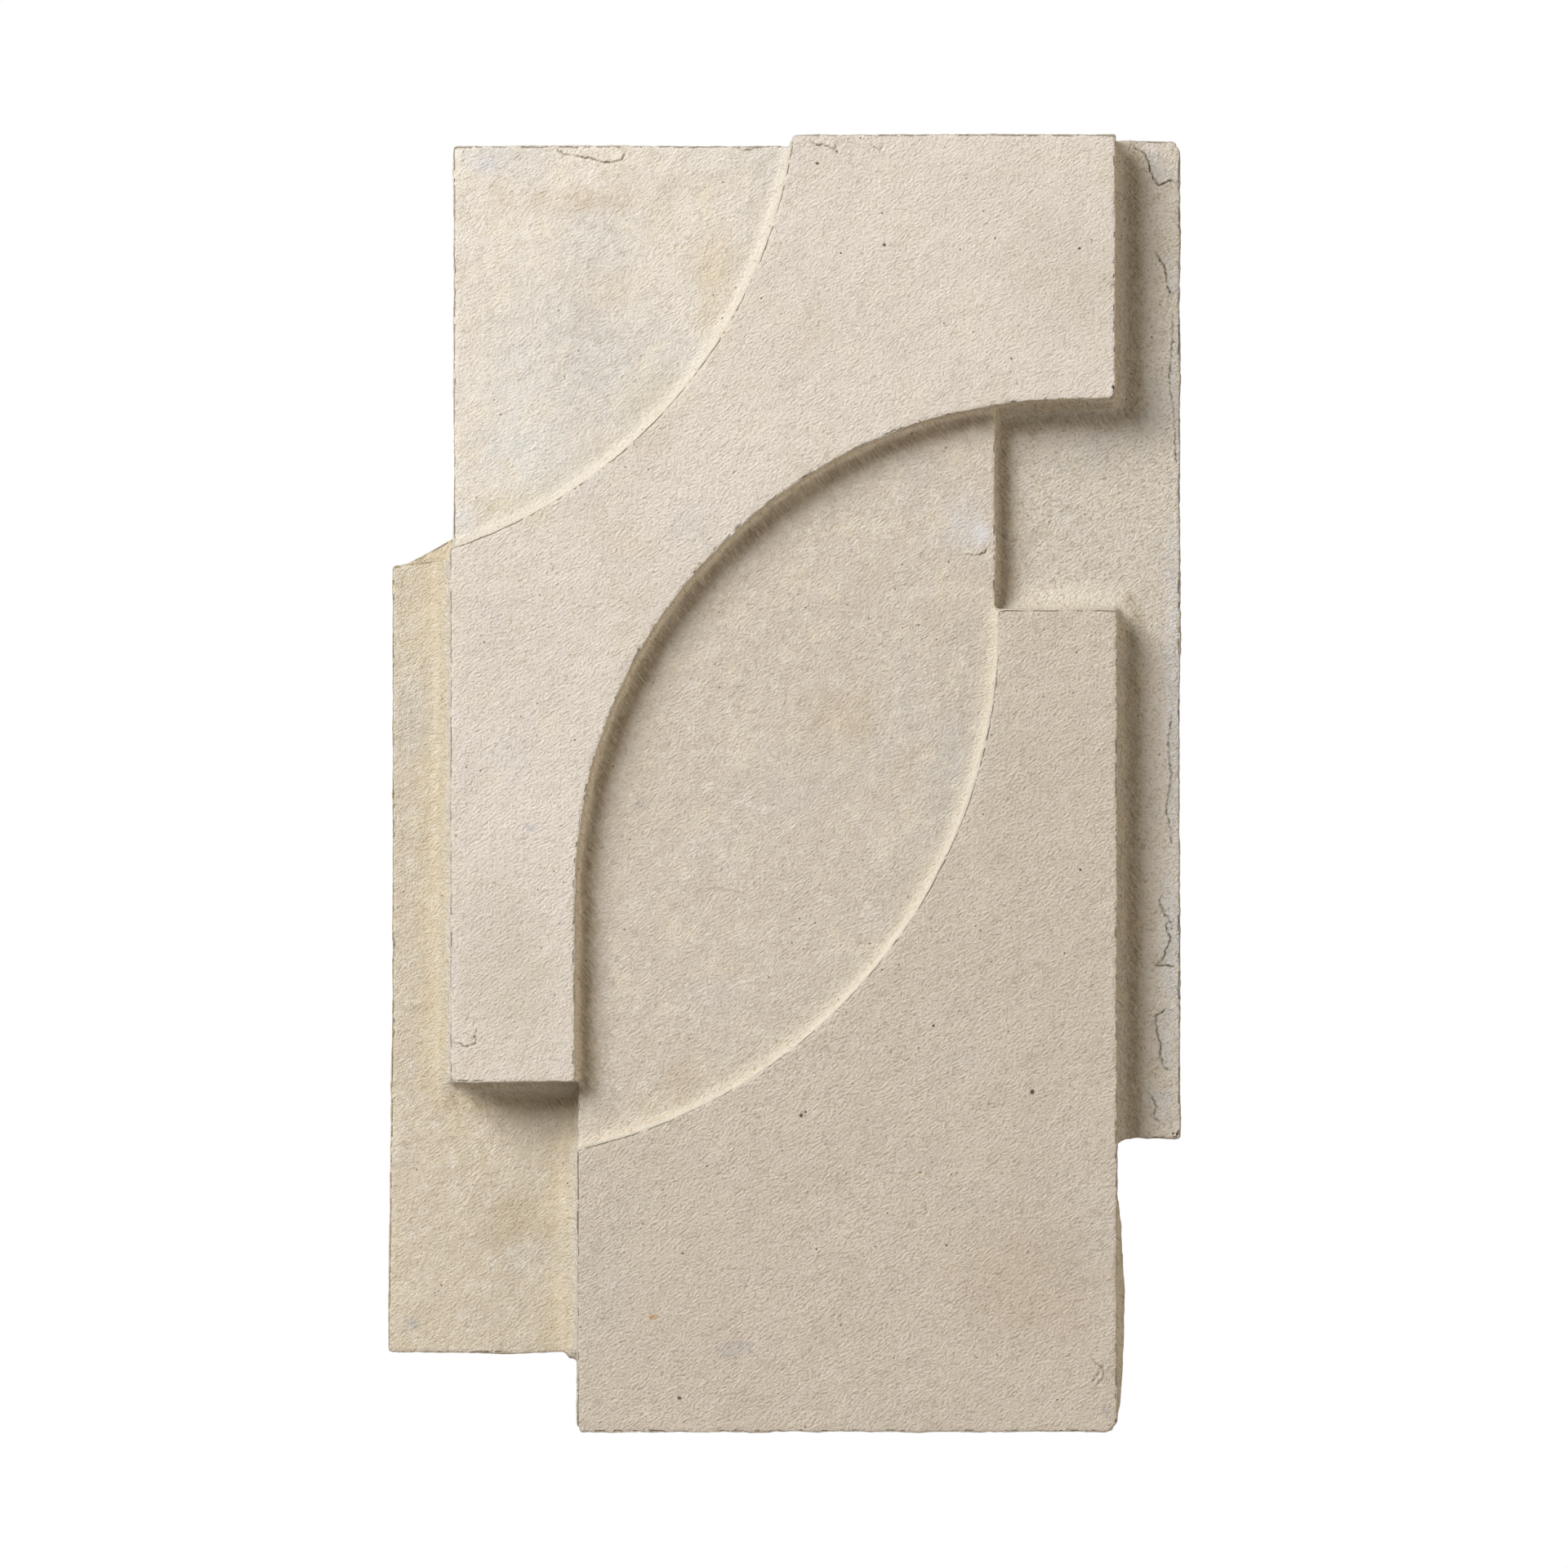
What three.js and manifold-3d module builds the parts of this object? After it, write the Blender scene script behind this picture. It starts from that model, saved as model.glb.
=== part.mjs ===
// Relief wall plaque in paper pulp, pressed over a built-up form as one piece: flat panels in
// steps, with an arch, a lens-shaped field and a quarter-round field between them.
// Millimetres, +Z up, front towards -Y. The flat back lies on the plane y = 0, with the origin
// in its middle, where the plaque meets the wall.
import * as THREE from "three";
import Module from "manifold-3d";

const wasm = await Module();
wasm.setup();

// Widths
const LEFT_STRIP = 32.5; // left panel, outside the arch's leg, at its top
const LEFT_SPREAD = 2.4; // how much wider it gets towards its bottom edge
const LEG_WIDTH = 67; // leg of the arch
const ARCH_WIDTH = 352.4; // arch, from the leg's outer side to the head's right end
const SLAB_OFFSET = 1.3; // lower slab's right side, outside the head's right end
const RIGHT_STRIP = 34.6; // back panel, outside the lower slab
const HEAD_WIDTH = 171.3; // top edge of the arch's head
const LENS_WIDTH = 222.4; // lens panel, from the leg's inner side to its own right edge
const QUARTER_INSET = 1.3; // quarter panel's left edge, inside the leg's outer side

// Heights
const ARCH_HEIGHT = 501.6; // arch, from its top edge to the foot of its leg
const LEG_DROP = 185; // from the foot of the leg to the slab's bottom edge
const HEAD_HEIGHT = 140.9; // arch's head at its right end
const ARCH_SIDE = 282.7; // arch's outer side, from the foot of the leg to the upper arc
const SLAB_HEIGHT = 435.8; // lower slab at its right side
const SLAB_SIDE = 150.4; // lower slab at its left side
const QUARTER_DROP = 5; // quarter panel's top edge, below the arch's
const BACK_DROP = 0.8; // back panel's top edge, below the arch's
const BACK_HEIGHT = 532; // back panel
const LEFT_RISE = 39; // left panel's bottom edge, above the slab's
const LEFT_HEIGHT = 420.8; // left panel at its left side
const LEFT_TOP_RISE = 4; // how much its top edge climbs towards the leg
const LEFT_BEND = 195; // where its left edge starts to spread, above its bottom edge

// Arcs
const INNER_RADIUS = 262.9; // hollow side of the arch, from the leg to the head
const UPPER_RADIUS = 266.8; // between the arch and the quarter panel
const LOWER_RADIUS = 283; // between the lens panel and the lower slab

// Front faces, as they stand off the wall
const LEFT_FACE = 10.5;
const BACK_FACE = 16.5;
const LENS_FACE = 28;
const QUARTER_FACE = 30;
const SLAB_FACE = 38;
const ARCH_FACE = 41;

// Pulp skin
const DRAFT = THREE.MathUtils.degToRad(2); // lean of the side walls
const EDGE_RADIUS = 0.9; // rounding along the front edges
const CORNER_RADIUS = 2.2; // rounding of an outline's corners
const COVE_RADIUS = 11; // fillet where a wall meets the panel below
const COVE_SHARE = 0.4; // its most, as a share of the wall
const LAP = 12; // how far a panel runs on under its neighbour

// Sloping shoulder of pulp on top of the left panel
const SHOULDER_INSET = 6; // from the left panel's left edge
const SHOULDER_RISE = 14.5; // at the leg
const SHOULDER_FACE = 7;

// Swelling low on the slab's right wall
const SWELL_REACH = 4.4;
const SWELL_LENGTH = 130;
const SWELL_HEIGHT = 66; // its middle, above the slab's bottom edge
const SWELL_FACE = 31;
const SWELL_ROUND = 5; // rounding along its front edge

// Web of pulp under the back panel, against the slab
const WEB_WIDTH = 12;
const WEB_DROP = 4;

// How finely curves are cut
const ARC_STEP = THREE.MathUtils.degToRad(2.5);
const SMALL_STEPS = 3; // a rounding
const COVE_STEPS = 5;
const SHARP = THREE.MathUtils.degToRad(30); // a turn above this is a corner
const TUCK = 0.05; // how far a cove's upper edge ends inside its wall

// Places in the plane of the wall, x to the right and z up, from the middle of the plaque
const xLeft = -(LEFT_STRIP + ARCH_WIDTH + SLAB_OFFSET + RIGHT_STRIP) / 2;
const xLeg = xLeft + LEFT_STRIP;
const xSeam = xLeg + LEG_WIDTH; // leg's inner side, and the left side of lens and slab
const xLens = xSeam + LENS_WIDTH;
const xHead = xLeg + ARCH_WIDTH;
const xSlab = xHead + SLAB_OFFSET;
const xRight = xSlab + RIGHT_STRIP;
const zTop = (ARCH_HEIGHT + LEG_DROP) / 2;
const zLegFoot = zTop - ARCH_HEIGHT;
const zBottom = zLegFoot - LEG_DROP;
const zUnderside = zTop - HEAD_HEIGHT;
const zSlabTop = zBottom + SLAB_HEIGHT;
const zBackBottom = zTop - BACK_DROP - BACK_HEIGHT;
const zLeftBottom = zBottom + LEFT_RISE;
const zLeftTop = zLeftBottom + LEFT_HEIGHT;

const at = (x, z) => new THREE.Vector2(x, z);

// A circle through two points, with its centre to the left of the way from the first to the second.
function circleThrough(from, to, radius) {
  const half = to.clone().sub(from).multiplyScalar(0.5);
  const rise = Math.sqrt(radius ** 2 - half.lengthSq());
  const side = at(-half.y, half.x).setLength(rise);
  return { centre: from.clone().add(half).add(side), radius };
}

// The upper point of a circle at x.
const topAt = ({ centre, radius }, x) => (
  at(x, centre.y + Math.sqrt(radius ** 2 - (x - centre.x) ** 2))
);

// The hollow side of the arch ends on the head's underside, or at the head's right end where
// that comes first.
const innerCircle = {
  centre: at(xSeam + INNER_RADIUS, zUnderside - INNER_RADIUS),
  radius: INNER_RADIUS,
};
const innerEnds = [
  at(xSeam, innerCircle.centre.y),
  topAt(innerCircle, Math.min(innerCircle.centre.x, xHead)),
];
const headFoot = innerEnds[1].x < xHead ? [at(xHead, zUnderside)] : [];
const upperEnds = [at(xLeg, zLegFoot + ARCH_SIDE), at(xHead - HEAD_WIDTH, zTop)];
const upperCircle = circleThrough(...upperEnds, UPPER_RADIUS);
const lowerEnds = [at(xSeam, zBottom + SLAB_SIDE), at(xLens, zSlabTop)];
const lowerCircle = circleThrough(...lowerEnds, LOWER_RADIUS);

// Points of a circle between the directions of two points, the shorter way round, with the
// radius grown by a lap where the line is hidden under a neighbour.
function arc({ centre, radius }, from, to, lap = 0, step = ARC_STEP) {
  const start = from.clone().sub(centre).angle();
  const turn = THREE.MathUtils.euclideanModulo(
    to.clone().sub(centre).angle() - start + Math.PI,
    2 * Math.PI,
  ) - Math.PI;
  const steps = Math.ceil(Math.abs(turn) / step);
  const curve = new THREE.EllipseCurve(
    centre.x, centre.y, radius + lap, radius + lap, start, start + turn, turn < 0,
  );
  return curve.getPoints(steps);
}

// Outlines of the front faces, anticlockwise as seen from the front
const outlines = {
  left: [
    at(xLeft - LEFT_SPREAD, zLeftBottom),
    at(xSeam + LAP, zLeftBottom),
    at(xSeam + LAP, zLeftTop),
    at(xLeg, zLeftTop + LEFT_TOP_RISE),
    at(xLeft, zLeftTop),
    at(xLeft, zLeftBottom + LEFT_BEND),
  ],
  shoulder: [
    at(xLeft + SHOULDER_INSET, zLeftTop - LAP),
    at(xLeg + LAP, zLeftTop - LAP),
    at(xLeg + LAP, zLeftTop + SHOULDER_RISE),
    at(xLeg, zLeftTop + SHOULDER_RISE),
    at(xLeft + SHOULDER_INSET, zLeftTop),
  ],
  back: [
    ...new THREE.QuadraticBezierCurve(
      at(xSlab, zBackBottom - WEB_DROP),
      at(xSlab + WEB_DROP, zBackBottom),
      at(xSlab + WEB_WIDTH, zBackBottom),
    ).getPoints(SMALL_STEPS),
    at(xRight, zBackBottom),
    at(xRight, zTop - BACK_DROP),
    at(xHead - LAP, zTop - BACK_DROP),
    at(xLens - LAP, zUnderside),
    at(xLens - LAP, zBackBottom - WEB_DROP),
  ],
  lens: [
    at(xSeam, lowerEnds[0].y - LAP),
    ...arc(lowerCircle, at(xSeam + LAP, lowerEnds[0].y), at(xLens, zSlabTop - LAP), LAP),
    at(xLens, zSlabTop - LAP),
    at(xLens, zUnderside),
    ...arc(innerCircle, at(xLens, zUnderside), innerEnds[0], LAP),
    at(xSeam - LAP, zLegFoot + LAP),
    at(xSeam, zLegFoot + LAP),
  ],
  quarter: [
    ...arc(upperCircle, upperEnds[0], at(upperEnds[1].x, zTop - QUARTER_DROP - LAP), LAP),
    at(upperEnds[1].x + LAP, zTop - QUARTER_DROP),
    at(xLeg + QUARTER_INSET, zTop - QUARTER_DROP),
    at(xLeg + QUARTER_INSET, upperEnds[0].y),
  ],
  slab: [
    at(xSeam, zBottom),
    at(xSlab, zBottom),
    at(xSlab, zSlabTop),
    ...arc(lowerCircle, lowerEnds[1], lowerEnds[0]),
  ],
  swell: [
    ...new THREE.QuadraticBezierCurve(
      at(xSlab, zBottom + SWELL_HEIGHT - SWELL_LENGTH / 2),
      at(xSlab + 2 * SWELL_REACH, zBottom + SWELL_HEIGHT),
      at(xSlab, zBottom + SWELL_HEIGHT + SWELL_LENGTH / 2),
    ).getPoints(4 * SMALL_STEPS),
    at(xSlab - LAP, zBottom + SWELL_HEIGHT + SWELL_LENGTH / 2),
    at(xSlab - LAP, zBottom + SWELL_HEIGHT - SWELL_LENGTH / 2),
  ],
  arch: [
    at(xLeg, zLegFoot),
    at(xSeam, zLegFoot),
    ...arc(innerCircle, ...innerEnds),
    ...headFoot,
    at(xHead, zTop),
    ...arc(upperCircle, upperEnds[1], upperEnds[0]),
  ],
};

// The turn of an outline at each point, positive to the left.
function turnAt(points, i) {
  const n = points.length;
  const before = points[i].clone().sub(points[(i + n - 1) % n]).angle();
  const after = points[(i + 1) % n].clone().sub(points[i]).angle();
  return THREE.MathUtils.euclideanModulo(after - before + Math.PI, 2 * Math.PI) - Math.PI;
}

// Each outward corner of an outline becomes a small arc.
function roundCorners(points) {
  return points.flatMap((corner, i) => {
    const turn = turnAt(points, i);
    if (turn < SHARP) return [corner];
    const before = points[(i + points.length - 1) % points.length].clone().sub(corner);
    const after = points[(i + 1) % points.length].clone().sub(corner);
    const reach = CORNER_RADIUS * Math.tan(turn / 2);
    const from = before.setLength(reach).add(corner);
    const to = after.setLength(reach).add(corner);
    const middle = from.clone().add(to).multiplyScalar(0.5);
    const away = middle.clone().sub(corner).setLength(CORNER_RADIUS / Math.cos(turn / 2));
    const circle = { centre: corner.clone().add(away), radius: CORNER_RADIUS };
    return arc(circle, from, to, 0, Math.PI / 2 / SMALL_STEPS);
  });
}

// An outline moved outwards by a distance, along the bisector at each point.
function grow(points, out) {
  const n = points.length;
  return points.map((point, i) => {
    const into = point.clone().sub(points[(i + n - 1) % n]).normalize();
    const onward = points[(i + 1) % n].clone().sub(point).normalize();
    const normal = at(into.y + onward.y, -into.x - onward.x);
    return normal.multiplyScalar(out / (1 + into.dot(onward))).add(point);
  });
}

// A closed solid through rings of one outline, each grown by `out` at `depth` off the wall.
function loft(outline, rings) {
  const n = outline.length;
  const grown = rings.map(({ out }) => grow(outline, out));
  const vertices = grown.flatMap((ring, k) => ring.flatMap((p) => [p.x, -rings[k].depth, p.y]));
  const last = (rings.length - 1) * n;
  const triangles = [
    ...THREE.ShapeUtils.triangulateShape(grown[0], []).map(([a, b, c]) => [a, c, b]),
    ...THREE.ShapeUtils.triangulateShape(grown.at(-1), []).map((t) => t.map((v) => v + last)),
  ];
  for (let k = 0; k < last; k += n) {
    for (let i = 0; i < n; i++) {
      const j = (i + 1) % n;
      triangles.push([k + i, k + j, k + n + j], [k + i, k + n + j, k + n + i]);
    }
  }
  return new wasm.Manifold(new wasm.Mesh({
    numProp: 3,
    vertProperties: new Float32Array(vertices),
    triVerts: new Uint32Array(triangles.flat()),
  }));
}

// How far a leaning wall stands out at a depth, under a front edge rounded by `radius`.
const lean = (face, radius, depth) => (face - radius - depth) * Math.tan(DRAFT);

// A quarter turn in even steps.
const quarterTurn = (steps) => Array.from(
  { length: steps + 1 },
  (_, i) => (i / steps) * (Math.PI / 2),
);

// A panel from the wall to its front face, with leaning sides and a rounded front edge.
function panel(outline, face, radius = EDGE_RADIUS) {
  return loft(outline, [
    { out: lean(face, radius, 0), depth: 0 },
    ...quarterTurn(SMALL_STEPS).map((a) => ({
      out: -radius * (1 - Math.cos(a)),
      depth: face - radius * (1 - Math.sin(a)),
    })),
  ]);
}

// The fillet round a panel where its walls meet a lower one, kept to that one's front face.
function cove(upper, lower) {
  const radius = Math.min(COVE_RADIUS, (upper.face - lower.face) * COVE_SHARE);
  const rings = quarterTurn(COVE_STEPS).map((a) => {
    const depth = lower.face + radius * (1 - Math.cos(a));
    const out = lean(upper.face, EDGE_RADIUS, depth) + radius * (1 - Math.sin(a));
    return { out, depth };
  });
  rings.at(-1).out -= TUCK;
  rings.unshift({ out: rings[0].out, depth: lower.face - EDGE_RADIUS });
  const field = loft(lower.outline, [
    { out: -EDGE_RADIUS, depth: 0 },
    { out: -EDGE_RADIUS, depth: upper.face },
  ]);
  return loft(upper.outline, rings).intersect(field);
}

const panels = [
  { outline: roundCorners(outlines.left), face: LEFT_FACE },
  { outline: roundCorners(outlines.back), face: BACK_FACE },
  { outline: roundCorners(outlines.lens), face: LENS_FACE },
  { outline: roundCorners(outlines.quarter), face: QUARTER_FACE },
  { outline: roundCorners(outlines.slab), face: SLAB_FACE },
  { outline: roundCorners(outlines.arch), face: ARCH_FACE },
];
const coves = panels.flatMap((upper) => panels
  .filter((lower) => lower.face < upper.face)
  .map((lower) => cove(upper, lower)));
const solid = [
  ...panels.map(({ outline, face }) => panel(outline, face)),
  panel(outlines.shoulder, SHOULDER_FACE),
  panel(outlines.swell, SWELL_FACE, SWELL_ROUND),
  ...coves,
].reduce((whole, piece) => whole.add(piece));

const { vertProperties, triVerts } = solid.getMesh();
const geometry = new THREE.BufferGeometry();
geometry.setAttribute("position", new THREE.BufferAttribute(vertProperties, 3));
geometry.setIndex(new THREE.BufferAttribute(triVerts, 1));
geometry.computeVertexNormals();

const pulp = new THREE.MeshStandardMaterial({ color: 0xd9cdbb, roughness: 0.95, metalness: 0 });
const plaque = new THREE.Mesh(geometry, pulp);
plaque.name = "relief_plaque";

const part = new THREE.Group();
part.add(plaque);

export default part;
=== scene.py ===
"""Relief wall plaque in paper pulp: its skin, camera and light.

Metres, +Z up, front towards -Y. The flat back lies on the wall plane y = 0.
"""

import math
import random

import bpy
import numpy as np
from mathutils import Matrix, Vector
from mathutils.kdtree import KDTree


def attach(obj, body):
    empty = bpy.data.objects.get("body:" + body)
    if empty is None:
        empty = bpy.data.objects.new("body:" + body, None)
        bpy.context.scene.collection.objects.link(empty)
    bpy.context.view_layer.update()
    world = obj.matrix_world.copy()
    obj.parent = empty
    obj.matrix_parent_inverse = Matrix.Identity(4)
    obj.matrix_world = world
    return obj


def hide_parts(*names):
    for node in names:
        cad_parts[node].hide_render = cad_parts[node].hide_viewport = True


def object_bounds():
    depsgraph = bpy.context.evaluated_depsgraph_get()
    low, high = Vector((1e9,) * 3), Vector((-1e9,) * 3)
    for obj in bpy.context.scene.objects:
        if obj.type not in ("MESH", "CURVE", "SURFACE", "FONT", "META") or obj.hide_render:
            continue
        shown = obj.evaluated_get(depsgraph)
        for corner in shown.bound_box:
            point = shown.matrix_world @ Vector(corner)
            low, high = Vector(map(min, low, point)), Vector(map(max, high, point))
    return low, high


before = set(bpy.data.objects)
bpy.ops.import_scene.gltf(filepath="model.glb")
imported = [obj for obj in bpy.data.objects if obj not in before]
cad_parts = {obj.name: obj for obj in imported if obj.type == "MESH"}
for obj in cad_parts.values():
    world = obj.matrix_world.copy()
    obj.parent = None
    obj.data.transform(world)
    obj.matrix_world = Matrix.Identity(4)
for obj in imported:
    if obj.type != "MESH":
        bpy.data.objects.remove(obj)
cad_low, cad_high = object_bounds()
scene = bpy.context.scene
MM = 0.001


# Camera, light and room

def look_from(thing, place, target):
    """Puts a camera or a light at a place, turned towards a target."""
    thing.location = place
    thing.rotation_euler = (Vector(target) - Vector(place)).to_track_quat("-Z", "Y").to_euler()


FOCAL_LENGTH = 128.7  # mm, on a frame 36 mm wide
CAMERA_AWAY = 3.0
MIDDLE_X, MIDDLE_Z = -1.0 * MM, -0.3 * MM  # what the photo's middle shows


def make_camera():
    """A long lens straight in front, as in the photo."""
    bpy.ops.object.camera_add()
    camera = bpy.context.object
    camera.data.lens = FOCAL_LENGTH
    camera.data.sensor_width = 36
    camera.data.clip_end = 50
    look_from(camera, (MIDDLE_X, -CAMERA_AWAY, MIDDLE_Z), (MIDDLE_X, 0, MIDDLE_Z))
    scene.camera = camera


WHITE = (1.0, 1.0, 1.0)
WARM = (1.0, 0.90, 0.76)  # light that the room has thrown back

# Round soft lights: place, width, watts, colour
LIGHTS = [
    ((-2.89, -2.80, 2.44), 2.9, 332, WHITE),  # the main one, above and to the left
    ((3.4, -1.4, 0.3), 2.5, 48, WARM),  # weak, from the right
    ((0, 3.0, 0), 1.2, 75, WARM),  # straight behind, where only the back sees it
]
ROOM_LIGHT = 0.135  # even light all round


def make_lights():
    """The soft lights and the room's own light. The camera sees a plain white background."""
    for place, size, energy, colour in LIGHTS:
        bpy.ops.object.light_add(type="AREA")
        lamp = bpy.context.object
        lamp.data.shape = "DISK"
        lamp.data.size = size
        lamp.data.energy = energy
        lamp.data.color = colour
        look_from(lamp, place, (0, 0, 0))

    world = bpy.data.worlds.new("pale room")
    scene.world = world
    world.use_nodes = True
    tree = world.node_tree
    tree.nodes.clear()
    path = add(tree, "ShaderNodeLightPath")
    lighting = add(tree, "ShaderNodeBackground", {"Color": (*WARM, 1), "Strength": ROOM_LIGHT})
    seen = add(tree, "ShaderNodeBackground", {"Color": (*WHITE, 1), "Strength": 1.0})
    both = add(tree, "ShaderNodeMixShader",
               {0: path.outputs["Is Camera Ray"], 1: lighting, 2: seen})
    add(tree, "ShaderNodeOutputWorld", {"Surface": both})


def make_floor():
    """A plain pale floor, well under the plaque, which hangs on a wall."""
    bpy.ops.mesh.primitive_plane_add(size=2.0, location=(0, -1.0, -1.9))
    floor = bpy.context.object
    floor.name = "floor"
    paint = bpy.data.materials.new("matt pale floor paint")
    paint.use_nodes = True
    shader = paint.node_tree.nodes["Principled BSDF"]
    shader.inputs["Base Color"].default_value = srgb("e8e6e2")
    shader.inputs["Roughness"].default_value = 0.8
    floor.data.materials.append(paint)


# Nodes and colours

SMOOTH = {"interpolation_type": "SMOOTHSTEP"}  # a range that eases in and out
COLOURS = {"data_type": "RGBA"}  # a mix of two colours


def srgb(code):
    """An sRGB hex colour as linear RGBA."""
    values = [int(code[i:i + 2], 16) / 255 for i in (0, 2, 4)]
    return (*[v / 12.92 if v <= 0.04045 else ((v + 0.055) / 1.055) ** 2.4 for v in values], 1)


def add(tree, kind, inputs=None, **settings):
    """Adds a node with its settings. An input is a value, another node's socket, or a node, which
    stands for its first working output."""
    made = tree.nodes.new(kind)
    for name, value in settings.items():
        setattr(made, name, value)
    for name, value in (inputs or {}).items():
        if isinstance(value, bpy.types.Node):
            value = next(socket for socket in value.outputs if socket.enabled)
        if isinstance(value, bpy.types.NodeSocket):
            tree.links.new(value, made.inputs[name])
        else:
            made.inputs[name].default_value = value
    return made


# Modelling

def only(piece):
    """Selects one piece and nothing else."""
    bpy.ops.object.select_all(action="DESELECT")
    piece.select_set(True)
    bpy.context.view_layer.objects.active = piece


def modify(piece, kind, **settings):
    """Adds a modifier with its settings and applies it."""
    only(piece)
    modifier = piece.modifiers.new(kind.lower(), kind)
    for name, value in settings.items():
        setattr(modifier, name, value)
    bpy.ops.object.modifier_apply(modifier=modifier.name)


def rows(parts, name):
    """One vector of each of a mesh's vertices or faces, as rows."""
    values = np.empty(len(parts) * 3)
    parts.foreach_get(name, values)
    return values.reshape(-1, 3)


def move_corners(piece, places):
    piece.data.vertices.foreach_set("co", places.ravel())
    piece.data.update()


def mark(piece, name, values):
    """Gives a piece's vertices a value each, which its material reads by name."""
    attribute = piece.data.attributes.new(name, "FLOAT", "POINT")
    attribute.data.foreach_set("value", values.astype(np.float32))


def weigh(piece, name, weights, steps=20):
    """A vertex group from weights between 0 and 1."""
    group = piece.vertex_groups.new(name=name)
    levels = np.rint(np.clip(weights, 0, 1) * steps).astype(int)
    for level in range(1, steps + 1):
        members = np.nonzero(levels == level)[0]
        if len(members):
            group.add(members.tolist(), level / steps, "REPLACE")


def clouds(name, size, depth):
    """A soft noise for displacing, with lumps about `size` millimetres apart."""
    texture = bpy.data.textures.new(name, "CLOUDS")
    texture.noise_scale = size * MM
    texture.noise_depth = depth
    texture.noise_basis = "IMPROVED_PERLIN"
    return texture


# Faces of the panels, as they stand off the wall, in millimetres
LEFT, BACK, LENS, QUARTER, SLAB, ARCH = 10.5, 16.5, 28, 30, 38, 41

# Where the top layer of pulp is torn: the face, how far the layer on the left of the line's way
# is lifted at the tear, how far on it is pale with lime, and the line across and up, in millimetres
TEARS = [
    (QUARTER, 0.6, 0, [(-124, 337.5), (-118, 333.5), (-110, 332.5), (-100, 330), (-93.5, 329),
                       (-88.5, 330), (-85.5, 332.5), (-84, 336)]),
    (QUARTER, 0.3, 0, [(-90, 328.5), (-90.5, 325)]),
    (QUARTER, 0.4, 0, [(-29, 338), (-22, 335), (-12, 337.5)]),
    (ARCH, 0.6, 0, [(12, 340), (16, 337.3), (22.7, 336.4), (27.4, 333), (26, 337.3), (28.3, 341)]),
    (ARCH, 0.4, 0, [(44, 337.3), (49.8, 333.8), (52.4, 340)]),
    (BACK, 0.9, 9, [(183, 338.5), (190, 336), (193.2, 331), (194, 325.3), (198.2, 318.3),
                    (203.8, 320.9), (209.5, 319.3)]),
    (BACK, 0.9, 8, [(199.7, 286.5), (197.3, 281.7), (202.3, 273.4), (203.2, 264.7),
                    (205.8, 258.2)]),
    (BACK, 0.6, 5, [(206.5, 251), (205.6, 232), (204.2, 214), (207, 196), (208, 168)]),
    (ARCH, 0.3, 0, [(-165.4, -119.2), (-167.6, -123.5), (-167.4, -127)]),
    (ARCH, 0.8, 0, [(-163.2, -128.7), (-164.3, -134.2), (-163.2, -135.5), (-163.8, -137.5),
                    (-168.7, -139.1), (-171.5, -137.5), (-175.3, -136.9), (-176.7, -139.1)]),
    (LENS, 0.6, 0, [(94.2, 121.8), (99, 121.2), (102.7, 121.1), (105.5, 122.3), (108.8, 126.9)]),
    (BACK, 0.7, 6, [(206, 40), (203.8, 22), (205.5, 4), (202.8, -14), (206.2, -34)]),
    (BACK, 0.9, 9, [(202.3, -55.7), (198.8, -62.4), (200.6, -68.3), (204.9, -74.1), (202.3, -75.7),
                    (204.9, -82.4), (200.6, -94), (197.3, -96.5), (207.8, -98)]),
    (BACK, 1.0, 11, [(205.5, -117.6), (201.5, -121), (197.1, -123.4), (196.8, -128), (198.3, -135),
                     (199.9, -139.3), (199.6, -144.5), (200.9, -150.9), (204.9, -153.2)]),
    (BACK, 0.5, 7, [(190, -163), (194, -166), (197.5, -172), (196, -178), (201, -183)]),
    (SLAB, 0.7, 0, [(160.8, -300.2), (163, -305.8), (167.3, -309.2), (163, -315.3),
                    (158.6, -319.6)]),
    (SLAB, 0.4, 0, [(167.3, -304.5), (168.1, -313.1), (163.8, -319.6)]),
]
TEAR_STEP, TEAR_JITTER = 1.3, 0.5  # mm, of a torn line's own short steps
TEAR_WIDTH = 0.48
TEAR_DEPTH = 1.2
LIFT_HEIGHT = 1.2
LIFT_REACH = 3.0  # how far from the tear the layer has lifted


def wander(points, chance):
    """A torn line through points: each stretch is broken into short jittered steps."""
    line = [points[0]]
    for (ax, az), (bx, bz) in zip(points, points[1:]):
        count = max(1, round(math.hypot(bx - ax, bz - az) / TEAR_STEP))
        for k in range(1, count + 1):
            jitter = TEAR_JITTER if k < count else 0
            line.append((ax + (bx - ax) * k / count + chance.uniform(-jitter, jitter),
                         az + (bz - az) * k / count + chance.uniform(-jitter, jitter)))
    return line


def fading(count, over):
    """A share for each of a tear's stretches, which falls off towards both ends."""
    number = np.arange(count)
    return np.minimum(1, np.minimum(number + 0.5, count - number - 0.5) / over)


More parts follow.
